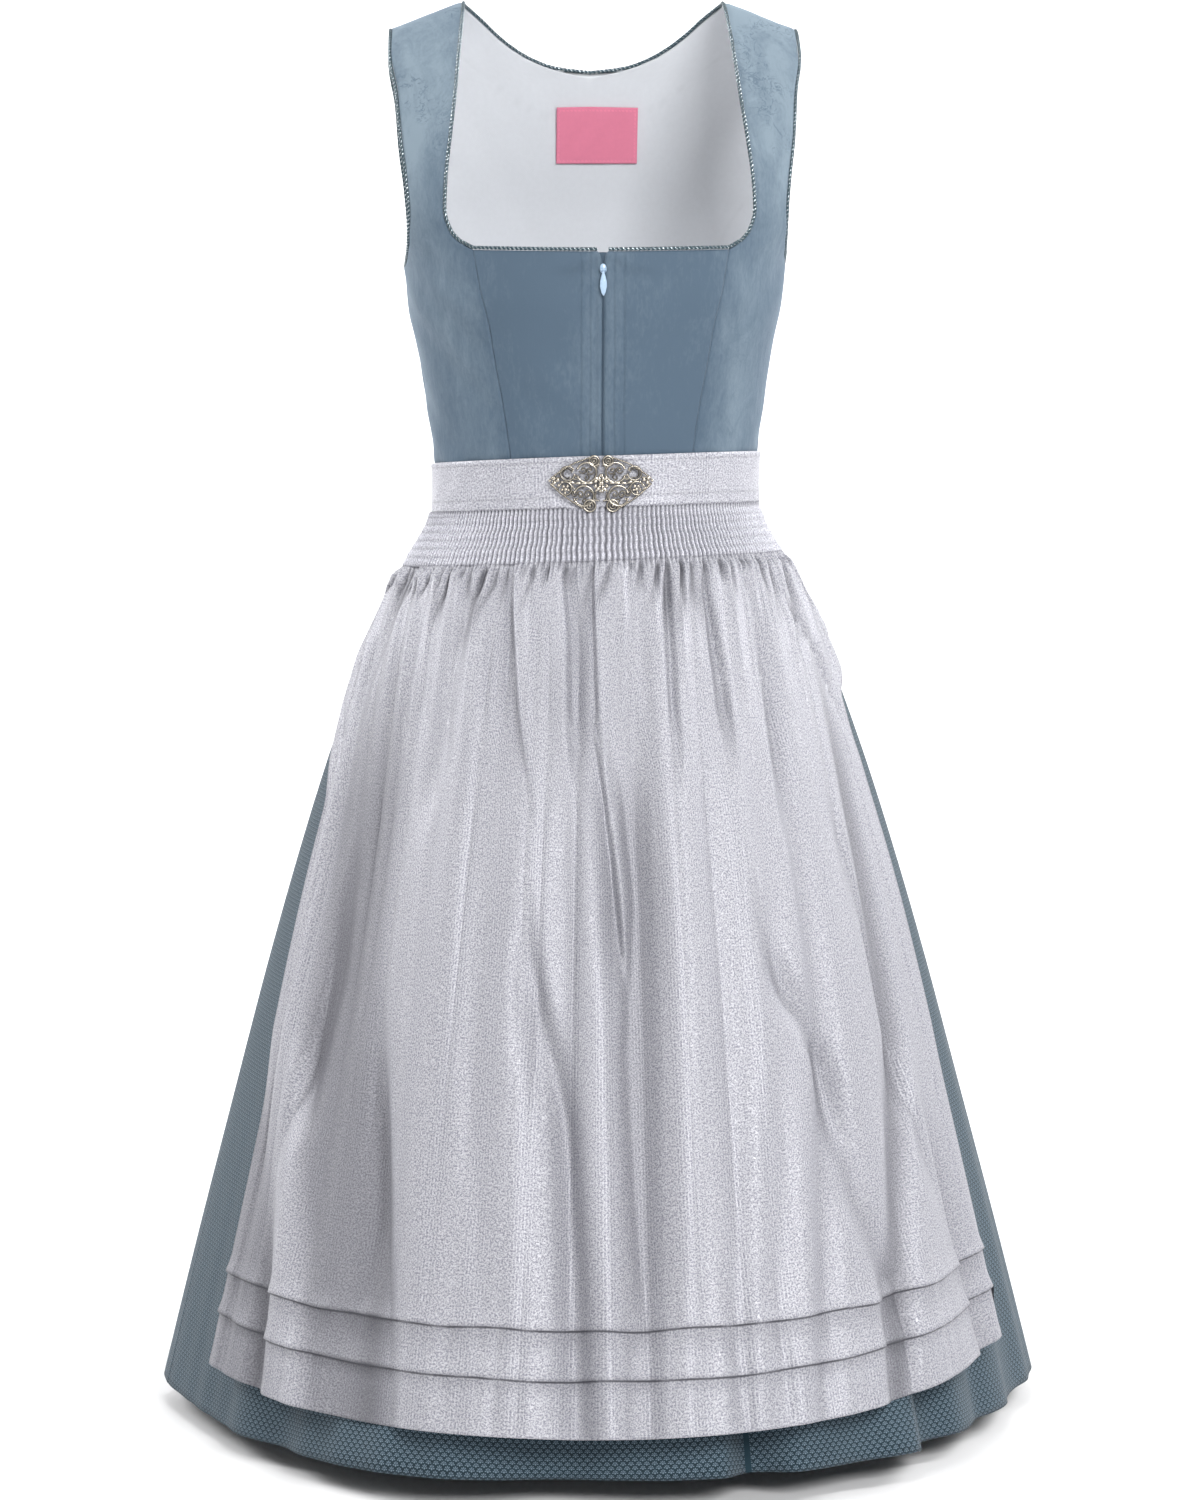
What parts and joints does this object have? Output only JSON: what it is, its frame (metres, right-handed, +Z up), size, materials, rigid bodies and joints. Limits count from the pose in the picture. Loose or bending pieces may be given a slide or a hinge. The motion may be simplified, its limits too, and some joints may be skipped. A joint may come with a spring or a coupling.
{
  "type": "dirndl",
  "caption": "Sleeveless velvet bodice with a square neck and front zip, gathered print skirt, and a smocked satin apron with tucks, band and openwork clasp.",
  "frame": {"origin": "midway between the two shoulder straps, at the height of their undersides, where the wearer's shoulders hold the dress", "axes": "+Z up, the front faces -Y, +X is the right-hand side seen from the front"},
  "size_m": [0.6714, 0.6925, 1.047],
  "materials": {
    "velvet": "dusty blue cotton velvet, short nap, slightly crushed",
    "lining": "pale blue-grey plain cotton",
    "piping": "dark teal cord with a silver glitter twist",
    "label": "pink woven label, bare",
    "zip_tape": "blue woven zip tape",
    "print": "dark blue cotton with a small pale leaf print",
    "satin": "silver-lilac jacquard satin with fine vine stripes",
    "band": "silver-lilac jacquard satin, flat band",
    "silver": "antique silver-coloured cast openwork",
    "enamel": "pale blue painted zinc"
  },
  "bodies": {
    "dress": {"bodice_front_centre_left": "velvet", "bodice_front_side_left": "velvet", "bodice_back_side_left": "velvet", "piping_armhole_left": "piping", "apron_belt_left": "band", "clasp_left": "silver", "bodice_front_centre_right": "velvet", "bodice_front_side_right": "velvet", "bodice_back_side_right": "velvet", "piping_armhole_right": "piping", "apron_belt_right": "band", "clasp_right": "silver", "bodice_back_centre": "velvet", "lining_back": "lining", "piping_neck": "piping", "neck_label": "label", "zip_tape": "zip_tape", "skirt_front": "print", "skirt_back": "print", "apron_smocking": "satin", "apron_panel": "satin", "zip_slider": "enamel"},
    "pull_tab": {"zip_pull": "enamel"}
  },
  "joints": [
    {"name": "pull_swing", "type": "hinge", "parent": "dress", "child": "pull_tab", "pos_m": [0, -0.1247, -0.1965], "axis": [-1, 0, 0], "range_deg": [0, 150]}
  ]
}
